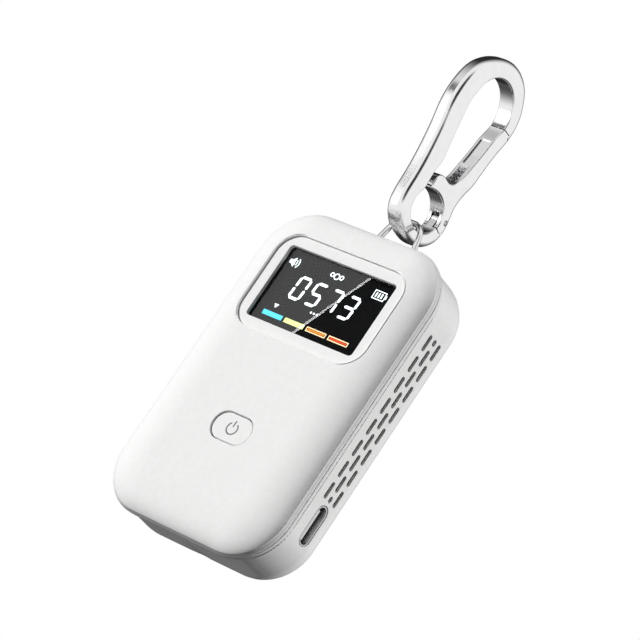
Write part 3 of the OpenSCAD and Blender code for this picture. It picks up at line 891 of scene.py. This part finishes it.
def make_trim():
    """The visible band, with a tongue behind the rims of both shells that closes the gaps."""
    s = Surface()
    low, high = trim_lo.y + EASE, trim_hi.y - EASE
    front, back = RIM_Y - 0.6, shell_lo.y + 0.5
    land, inner = TONGUE_INSET, TRIM_INSET + TRIM_THICK
    band = [(land, low, 90)]
    for y, start in ((low + TRIM_RIM, 0), (high - TRIM_RIM, -90)):
        band += [(inset + TRIM_INSET, depth, t) for inset, depth, t in reversed(edge(0, y, TRIM_RIM, start))]
    band += [(land, high, -90)]
    for part in ([(inner, front, 90), (land, front, 90)], [(land, front, 0), (land, low, 0)], band,
                 [(land, high, 0), (land, back, 0)], [(land, back, -90), (inner, back, -90)],
                 [(inner, back, 180), (inner, front, 180)]):
        hoops(s, part, *CASE)
    return s.build("trim_band")


# The trim band's grey is painted shade between the front cover and the back shell.
dress(make_trim(), trim_grey_painted_shade, "housing", "trim_plastic", "trim_ring")

# ---- back shell ----

SHELL = (CASE_W - 2 * SHELL_INSET, CASE_L - 2 * SHELL_INSET, CORNER - SHELL_INSET)
SHELL_EDGE_Y = shell_hi.y - SHELL_ROUND
SLOT = (0.95, 3.7)
SLOT_PITCH = 4.97
SLOT_COUNT = 8
SLOT_Y = (-2.18, -0.28, 1.62)
SLOT_TOP = 20.6
HALF_SLOT = 1.15
SHORT_SLOT = 1.4
SLOT_RIM = 0.05
PORT_RIM, PORT_GAP = 0.2, 0.1
BAIL_HOLE_R, BAIL_HOLE_RIM = 0.85, 0.15
bail_lo, bail_hi = span("bail")


class Girth:
    """The shell's side walls unrolled: u runs round the outline from the middle of its foot, v is depth Y."""

    def __init__(self):
        self.points, self.out = rounded(*SHELL, **SHELL_STEPS)
        step = np.linalg.norm(np.roll(self.points, -1, axis=0) - self.points, axis=1)
        self.u = np.concatenate([[0], np.cumsum(step)])

    def at(self, u, depth=0.0):
        """Place on the outline [across, up], pushed in by depth, and the outward direction there."""
        u = min(max(u, 0), self.u[-1])
        k = min(int(np.searchsorted(self.u, u, side="right")) - 1, len(self.points) - 1)
        t = (u - self.u[k]) / (self.u[k + 1] - self.u[k])
        j = (k + 1) % len(self.points)
        out = self.out[k] * (1 - t) + self.out[j] * t
        out = out / np.linalg.norm(out)
        return self.points[k] * (1 - t) + self.points[j] * t - out * depth, out

    def place(self, p, depth):
        """The walls are straight up to SHELL_EDGE_Y, and from there on they bend round to the back."""
        spot, out = self.at(p[0])
        out = Vector((out[0], 0, out[1]))
        turn = max(p[1] - SHELL_EDGE_Y, 0) / SHELL_ROUND
        c, s = cos(turn), sin(turn)
        back = Vector((0, 1, 0))
        normal = out * c + back * s
        foot = Vector((spot[0], min(p[1], SHELL_EDGE_Y), spot[1] + MID_Z)) - out * SHELL_ROUND
        place = foot + normal * (SHELL_ROUND - depth)
        return place, normal, Vector((-out.z, 0, out.x)), back * c - out * s

    def u_of(self, side, up):
        """Where along the girth the height up lies on the right (side 1) or left (-1) wall."""
        w, l, r = SHELL
        quarter = (w / 2 - r) + pi * r / 2
        right = quarter + (l / 2 - r) + up
        return right if side > 0 else self.u[-1] - right

    def u_top(self, x):
        return self.u[-1] / 2 - x


def shell_holes(girth):
    """Outlines on the unrolled walls, with their outward directions and edge radius: vent slots, the socket
    and the two holes for the bail."""
    holes = []

    def cut(outline, u, v, edge_radius):
        holes.append((outline[0] + (u, v), outline[1], edge_radius))

    slot = rounded(SLOT[1], SLOT[0], SLOT[0] / 2, 5, 2, 1)
    short = rounded(SHORT_SLOT, SLOT[0], SLOT[0] / 2, 5, 2, 1)
    for side in (1, -1):
        for row, y in enumerate(SLOT_Y):
            staggered = row == 1
            for k in range(SLOT_COUNT - staggered):
                cut(slot, girth.u_of(side, SLOT_TOP - (k + 0.5 * staggered) * SLOT_PITCH), y, SLOT_RIM)
        for up in (SLOT_TOP + HALF_SLOT, SLOT_TOP - (SLOT_COUNT - 1) * SLOT_PITCH - HALF_SLOT):
            cut(short, girth.u_of(side, up), SLOT_Y[1], SLOT_RIM)
    lo, hi = span("usb_shell")
    w, h = hi.z - lo.z + 2 * PORT_GAP, hi.y - lo.y + 2 * PORT_GAP
    cut(rounded(w, h, h / 2, 10, 4, 1), girth.u_of(1, (hi.z + lo.z) / 2 - MID_Z), (lo.y + hi.y) / 2, PORT_RIM)
    for x in (-BAIL_HOLE_X, BAIL_HOLE_X):
        cut(circle(BAIL_HOLE_R, 20), girth.u_top(x), 0, BAIL_HOLE_RIM)
    return holes


WIRE = 1.2
BAIL_LEAN = radians(14)
BAIL_FLAT = 1
BAIL_BEND = 3
wire_z = bail_hi.z - WIRE / 2
hip = (BAIL_FLAT + BAIL_BEND * cos(BAIL_LEAN), wire_z - BAIL_BEND + BAIL_BEND * sin(BAIL_LEAN))
shell_top = cover_hi.z - SHELL_INSET
BAIL_HOLE_X = hip[0] + (hip[1] - shell_top) * tan(BAIL_LEAN)


# The shell's front rim, with a fine groove behind it: how far in, how far back, and the normal's lean
SHELL_GROOVE = ((0.1, 0.1, 45), (0, 0.2, 0), (0, 0.52, 0), (0.55, 0.68, -45), (0.55, 0.74, 45), (0, 0.88, 0),
                (0, 0.9, 0))
SHELL_WALL = 0.6
SHELL_BEND = 24  # degrees of the bend to the back that the unrolled walls take in
BACK_BEND = 60  # degrees of the bend where the back's own surface starts
SHELL_STEPS = {"arc": 20, "across": 8, "along": 24}
CUP_R, CUP_DEPTH = 1.93, 0.5
SCREWS = ((-14.6, 2.5), (14.6, 2.5), (-12.6, -28.6), (12.6, -28.6))


def shell_bend(depth, start, end, steps, turned=0):
    """Profile of the shell's bend from wall to back, depth inside its outer face."""
    profile = []
    for t in sweep(start, end, steps):
        c, s = cos(radians(t)), sin(radians(t))
        reach = SHELL_ROUND - depth
        profile.append((SHELL_ROUND - reach * c, SHELL_EDGE_Y + reach * s, turned - t))
    return profile


def clear_of(spots, holes, distance):
    """The spots that lie outside every hole, and not near its edge."""
    return [p for p in spots if not any(
        inside(p, loop) or np.min(np.linalg.norm(loop - p, axis=1)) < distance for _, loop in holes)]


def make_shell():
    s = Surface()
    girth = Girth()

    def unrolled(row):
        return row + row[:1]

    front_rows = hoops(s, [(a, shell_lo.y + y, lean) for a, y, lean in SHELL_GROOVE], *SHELL, **SHELL_STEPS)
    back_rows = hoops(s, shell_bend(0, SHELL_BEND, BACK_BEND, 6), *SHELL, **SHELL_STEPS)
    inner_front = hoops(s, [(SHELL_WALL, shell_lo.y + EASE, 180)], *SHELL, **SHELL_STEPS)[0]
    inner_rows = hoops(s, shell_bend(SHELL_WALL, SHELL_BEND, 90, 6, 180), *SHELL, **SHELL_STEPS)
    low, high = shell_lo.y + SHELL_GROOVE[-1][1], SHELL_EDGE_Y + SHELL_ROUND * radians(SHELL_BEND)
    walls = [(u, low) for u in girth.u] + [(u, high) for u in reversed(girth.u)]
    outer_holes, inner_holes = [], []
    for loop, away, edge_radius in shell_holes(girth):
        top, foot = opening(s, loop, away, girth.place, edge_radius, SHELL_WALL)
        outer_holes.append(top)
        inner_holes.append((foot, loop))
    spots = [(u, SHELL_EDGE_Y + SHELL_ROUND * radians(t)) for t in (0, SHELL_BEND / 2) for u in girth.u[1:-1]]
    s.fill((unrolled(front_rows[-1]) + unrolled(back_rows[0])[::-1], walls), outer_holes,
           clear_of(spots, outer_holes, 0.12), lambda p: girth.place(p, 0)[:2])
    s.fill((unrolled(inner_front) + unrolled(inner_rows[0])[::-1], walls), inner_holes, [], None)
    s.band(front_rows[0], inner_front)

    def on_back(p, depth):
        y, normal = dome(p, *SHELL, SHELL_ROUND, SHELL_ROUND, SHELL_EDGE_Y, 1)
        return facing(p, (shell_hi.y if depth == CUP_DEPTH else y) - depth, normal)  # the cups' floors are flat

    cups = []
    ring, away = circle(CUP_R, 32)
    for screw in SCREWS:
        top, foot = opening(s, ring + screw, away, on_back, 0.1, CUP_DEPTH)
        cups.append(top)
        s.cap(foot, (0, 1, 0))
    outline, *rings = [shrunk(SHELL_ROUND * (1 - cos(radians(t))), *SHELL, **SHELL_STEPS)[0]
                       for t in range(BACK_BEND, 91, 5)]
    spots = clear_of([p for ring in rings for p in ring], cups, 0.15)
    s.fill((back_rows[-1], outline), cups, spots, lambda p: on_back(p, 0)[:2])
    s.cap(inner_rows[-1], (0, -1, 0))
    return s.build("back_shell_skin")


dress(make_shell(), white, "housing", "white_case", "back_shell")


def make_contacts():
    """Gold contact strips on both faces of the socket's tongue."""
    s = Surface()
    lo, hi = span("usb_tongue")
    count, pitch, half, thick = 12, 0.5, 0.13, 0.05
    for y in (lo.y - 0.02, hi.y - 0.03):
        for k in range(count):
            z = (lo.z + hi.z) / 2 + (k - (count - 1) / 2) * pitch
            prism(s, box_loop(lo.x + 1, hi.x - 0.6, z - half, z + half), y, y + thick, z=0)
    return s.build("socket_contacts")


dress(make_contacts(), gold, "housing", "usb_steel")

# ---- bail ----


def bail_line():
    """The wire's middle line, from the foot of the left leg over the top to the foot of the right one."""
    reach = (hip[1] - bail_lo.z - 0.15) / cos(BAIL_LEAN)
    half = [(BAIL_FLAT + BAIL_BEND * cos(t), wire_z - BAIL_BEND + BAIL_BEND * sin(t))
            for t in sweep(BAIL_LEAN, pi / 2, 12)]
    foot = (hip[0] + reach * sin(BAIL_LEAN), hip[1] - reach * cos(BAIL_LEAN))
    side = [foot] + half
    return [(-x, 0, z) for x, z in side] + [(x, 0, z) for x, z in reversed(side)]


def make_bail():
    s = Surface()
    tube(s, bail_line(), WIRE / 2, 24, up=(0, 1, 0))
    return s.build("bail_wire")


dress(make_bail(), wire_steel, "housing", "bail_steel", "bail")

# ---- clip ----

CLIP_T = 4.0
GAP = 0.25
EYE_MID = (0.1, -31.5)
EYE_R = (5.3, 4.42)
HOOK = (-0.8, -6.6)
HOOK_R = 6.6
PIN = (6.7, -30)
PIN_R, PIN_BORE, TONGUE_R, FORK_R, FOOT_R = 0.6, 0.62, 1.45, 1.7, 2.4
OUTER_EDGE = [(8.3, -17), (8.6, -12.5), (9.3, -8.2), (9.3, -4.8), (8.2, -1.4), (5.2, 2.3), (1.6, 3.9),
              (-2.2, 4), (-6, 2.6), (-9.6, -0.3), (-11.6, -3.6), (-12.4, -8), (-12.1, -12.5), (-10.6, -17.7),
              (-9.4, -23.4), (-8.8, -28), (-8.5, -32.4), (-7.5, -35.6), (-4.9, -37.9), (-1.2, -38.7),
              (2.6, -38.5), (5.8, -36.9), (7.9, -34.2), (8.4, -31.2), (7.9, -28.7), (7.15, -26.2),
              (7.3, -23.4), (8.1, -20.3), (8.3, -17)]
SPINE_EDGE = [(-7.4, -6.6), (-7.6, -9.5), (-6.6, -14), (-5.3, -19.1), (-4.5, -22.3), (-4.8, -24.8),
              (-4.45, -28.3)]
LOBE_EDGE = [(-3.1, -27.4), (-3.3, -25.6), (-2.6, -24.1), (-1, -23.7), (0.8, -23.9), (2.3, -23.3),
             (3.1, -22.2), (3.7, -20), (4.5, -14.9), (5, -10.5)]


def smooth_line(p, n=8):
    """A smooth line through the points of p."""
    p = [np.array(q, float) for q in p]
    line = []
    for i in range(len(p) - 1):
        a, b, c, d = p[max(i - 1, 0)], p[i], p[i + 1], p[min(i + 2, len(p) - 1)]
        for k in range(n):
            t = k / n
            line.append((2 * b + (c - a) * t + (2 * a - 5 * b + 4 * c - d) * t * t
                         + (3 * b - a - 3 * c + d) * t ** 3) / 2)
    return line + [p[-1]]


def arc_line(middle, radii, start, end, n):
    """Points on an ellipse between two angles in degrees."""
    return [np.array((middle[0] + radii[0] * cos(t), middle[1] + radii[1] * sin(t)))
            for t in map(radians, sweep(start, end, n))]


def area_of(loop):
    """Positive for a counter-clockwise loop."""
    p = np.array(loop, float)
    after = np.roll(p, -1, axis=0)
    return float(np.sum(p[:, 0] * after[:, 1] - p[:, 1] * after[:, 0]))


def even_loop(points, step=0.3, passes=5):
    """A closed line resampled at an even step, its sharp corners eased. Runs counter-clockwise."""
    p = np.array(points)
    p = p[np.linalg.norm(p - np.roll(p, 1, axis=0), axis=1) > 1e-6]
    closed = np.vstack([p, p[:1]])
    length = np.concatenate([[0], np.cumsum(np.linalg.norm(np.diff(closed, axis=0), axis=1))])
    n = int(length[-1] / step)
    at = np.arange(n) * length[-1] / n
    p = np.stack([np.interp(at, length, closed[:, k]) for k in (0, 1)], 1)
    for _ in range(passes):
        p = (np.roll(p, 1, axis=0) + 2 * p + np.roll(p, -1, axis=0)) / 4
    return p if area_of(p) > 0 else p[::-1]


def outward(loop):
    """Directions to the right of a counter-clockwise loop, which point out of it."""
    way = np.roll(loop, -1, axis=0) - np.roll(loop, 1, axis=0)
    way /= np.linalg.norm(way, axis=1)[:, None]
    return np.stack([way[:, 1], -way[:, 0]], 1)


def round_ends(half, radius, steps):
    """Across X from -half to half, with both ends rounded: where, the turn's signed sine and its cosine."""
    for side in (-1, 1):
        for k in range(steps + 1):
            t = radians(90 * (steps - k if side < 0 else k) / steps)
            yield side * (half - radius + radius * sin(t)), side * sin(t), cos(t)


def clip_spot(p, x):
    return (x, p[0], p[1])


def make_whole_clip():
    """Frame and gate as one casting with round edges, before they are parted."""
    s = Surface()
    outer = even_loop(smooth_line(OUTER_EDGE)[:-1])
    hole = (arc_line(HOOK, (HOOK_R, HOOK_R), -8, 180, 40)[:-1] + smooth_line(SPINE_EDGE)
            + arc_line(EYE_MID, EYE_R, 150, 484, 60) + smooth_line(LOBE_EDGE))
    inner = even_loop(hole)
    faces = []
    for loop, sign, radius in ((outer, 1, 1.3), (inner, -1, 0.4)):
        out = outward(loop) * sign
        rows = []
        for x, across, share in round_ends(CLIP_T / 2, radius, 5):
            p = loop - out * radius * (1 - share)
            normals = [(across, o[0] * share, o[1] * share) for o in out]
            rows.append(s.row([clip_spot(q, x) for q in p], normals))
        s.bands(rows)
        faces.append((rows, loop - out * radius))
    for k, side in ((0, -1), (-1, 1)):
        s.fill((faces[0][0][k], faces[0][1]), [(faces[1][0][k], faces[1][1])], [], None)
    return s.build("clip_whole")


def clip_prism(name, loop, half):
    """Solid through the clip: an outline [Y, Z] across X from -half to half."""
    s = Surface()
    n = len(loop)
    for x in (-half, half):
        s.face(s.row([clip_spot(p, x) for p in loop], [(x, 0, 0)] * n), True)
    for a, b in zip(loop, [*loop[1:], loop[0]]):
        way = np.array(b) - np.array(a)
        out = np.array((way[1], -way[0]))
        out = out if area_of(loop) > 0 else -out
        corners = [(a, -half), (b, -half), (b, half), (a, half)]
        s.face(s.row([clip_spot(p, x) for p, x in corners], [(0, *out)] * 4), True)
    thing = s.build(name)
    welded = bmesh.new()
    welded.from_mesh(thing.data)
    bmesh.ops.remove_doubles(welded, verts=welded.verts, dist=1e-7)
    bmesh.ops.recalc_face_normals(welded, faces=welded.faces)
    welded.to_mesh(thing.data)
    welded.free()
    return thing


def combine(thing, other, how):
    """thing after a boolean with other, which stays."""
    step = thing.modifiers.new("step", "BOOLEAN")
    step.operation = how
    step.solver = "EXACT"
    step.object = other
    bpy.context.view_layer.update()
    made = bpy.data.meshes.new_from_object(thing.evaluated_get(bpy.context.evaluated_depsgraph_get()))
    thing.modifiers.remove(step)
    thing.data = made
    return thing


def pin_disc(name, radius, n, half):
    """Round solid about the hinge pin's middle."""
    return clip_prism(name, arc_line(PIN, (radius, radius), 0, 360, n)[:-1], half)


GATE_REACH = 23
GATE_AREA = [(-3.6, -22.5), (2.5, -22), (2.5, -4), (11, -4), (9.6, PIN[1]), (2, PIN[1]), (-3.6, -29)]
GATE_STEP = [(8.2, -6), (8.2, -7.4), (9.6, -8.6), (12, -8.6), (12, -6)]


def gate_zone(g):
    """Stretch of the clip that swings with the gate, grown by g all round."""
    zone = pin_disc(f"zone_{g:g}", GATE_REACH + g, 180, 3)
    keep = clip_prism("keep", GATE_AREA, 4)
    shift = (g - GAP) * 0.7  # the step runs aslant, so it moves less than its gap grows
    step = clip_prism("step", [(y + shift, z + shift) for y, z in GATE_STEP], 5)
    foot = pin_disc("foot", FOOT_R + g, 72, 3)
    for helper, how in ((keep, "INTERSECT"), (step, "DIFFERENCE"), (foot, "UNION")):
        combine(zone, helper, how)
        bpy.data.objects.remove(helper)
    return zone


ON_CASTING = 1e-5  # metres from the casting's skin, within which a face still belongs to it


def keep_gloss(thing, whole):
    """Gives the parted piece the casting's own smooth normals, and flat ones on its cuts."""
    mesh = whole.data
    corner = np.zeros(len(mesh.loops) * 3, np.float32)
    mesh.corner_normals.foreach_get("vector", corner)
    corner = corner.reshape(-1, 3)
    points = [v.co for v in mesh.vertices]
    polygons = [list(p.vertices) for p in mesh.polygons]
    loops = [list(p.loop_indices) for p in mesh.polygons]
    tree = BVHTree.FromPolygons(points, polygons)
    normals = [None] * len(thing.data.loops)
    for face in thing.data.polygons:
        _, _, _, distance = tree.find_nearest(face.center)
        cut = distance > ON_CASTING
        for i in face.loop_indices:
            spot = thing.data.vertices[thing.data.loops[i].vertex_index].co
            if cut:
                normals[i] = face.normal.copy()
                continue
            toward = spot + (face.center - spot) * 0.02
            near, _, index, _ = tree.find_nearest(toward)
            shares = np.array([1 / max((points[v] - near).length, 1e-9) for v in polygons[index]])
            shares = shares ** 2 / np.sum(shares ** 2)
            normals[i] = Vector(shares @ corner[loops[index]]).normalized()
    thing.data.shade_smooth()
    thing.data.normals_split_custom_set(normals)


# What is cut from the gate: the fork's channel with its ends, the spring's slot and a sunken panel
FORK_END = [(3.5, PIN[1]), (9.5, PIN[1]), (9.5, PIN[1] - 3), (3.5, PIN[1] - 3)]
SPRING_SLOT = [(4.3, PIN[1]), (7.4, PIN[1]), (7.1, -28.4), (6.3, -27), (6.3, -18.2), (5.5, -16.9), (4.4, -17.8),
               (1, -17.8), (1, -22.8), (4.3, -23.4)]
GATE_PANEL = [(2, -17.3), (4.5, -17.3), (4.85, -14.9), (5.3, -10.6), (2, -10.6)]
TONGUE_FOOT = [(PIN[0] - 1.35, PIN[1]), (PIN[0] + 1.35, PIN[1]), (8, -33.6), (5.1, -33.6)]
FORK_HALF, PANEL_HALF, TONGUE_HALF = 1.05, 1.25, 0.8


def make_clip():
    whole = make_whole_clip()
    body, gate = (add_object(name, whole.data.copy()) for name in ("clip_body", "clip_gate_arm"))
    wide, narrow = gate_zone(GAP), gate_zone(0)
    combine(body, wide, "DIFFERENCE")
    combine(gate, narrow, "INTERSECT")
    cutters = [pin_disc("channel_a", FORK_R, 48, FORK_HALF), clip_prism("channel_b", FORK_END, FORK_HALF),
               clip_prism("channel_c", SPRING_SLOT, FORK_HALF), clip_prism("panel", GATE_PANEL, PANEL_HALF),
               pin_disc("pin_hole", PIN_BORE, 32, 3)]
    for cutter in cutters:
        combine(gate, cutter, "DIFFERENCE")
    tongue = pin_disc("tongue", TONGUE_R, 48, TONGUE_HALF)
    root = clip_prism("root", TONGUE_FOOT, TONGUE_HALF)
    combine(tongue, root, "UNION")
    combine(tongue, cutters[-1], "DIFFERENCE")
    combine(body, tongue, "UNION")
    keep_gloss(body, whole)
    keep_gloss(gate, whole)
    for helper in [whole, wide, narrow, tongue, root, *cutters]:
        bpy.data.objects.remove(helper)
    return body, gate


clip_body, clip_gate = make_clip()
dress(clip_body, chrome, "clip", "clip_chrome", "clip_frame")
dress(clip_gate, chrome, "gate", "clip_chrome", "clip_gate")


def make_pin():
    """Hinge pin with rounded ends."""
    s = Surface()
    rows = []
    ring, out = circle(PIN_R, 32)
    for x, across, share in round_ends(CLIP_T / 2 - 0.04, 0.15, 4):
        spots = PIN + ring * (0.35 + 0.65 * share)
        normals = [(across, o[0] * share, o[1] * share) for o in out]
        rows.append(s.row([clip_spot(p, x) for p in spots], normals))
    s.bands(rows)
    s.cap(rows[0], (-1, 0, 0))
    s.cap(rows[-1], (1, 0, 0))
    return s.build("hinge_pin")


def make_spring():
    s = Surface()
    lo, hi = span("gate_spring")
    wire = 0.16
    radius = (hi.x - lo.x) / 2 - wire
    turns, steps = 9, 20
    mid_y = (lo.y + hi.y) / 2
    path = []
    for k in range(turns * steps + 1):
        a = 2 * pi * k / steps
        z = lo.z + wire + (hi.z - lo.z - 2 * wire) * k / (turns * steps)
        path.append((radius * cos(a), mid_y + radius * sin(a), z))
    tube(s, path, wire, 10)
    return s.build("spring_coil")


dress(make_pin(), steel, "gate", "pin_steel", "gate_pin")
dress(make_spring(), steel, "gate", "pin_steel", "gate_spring")
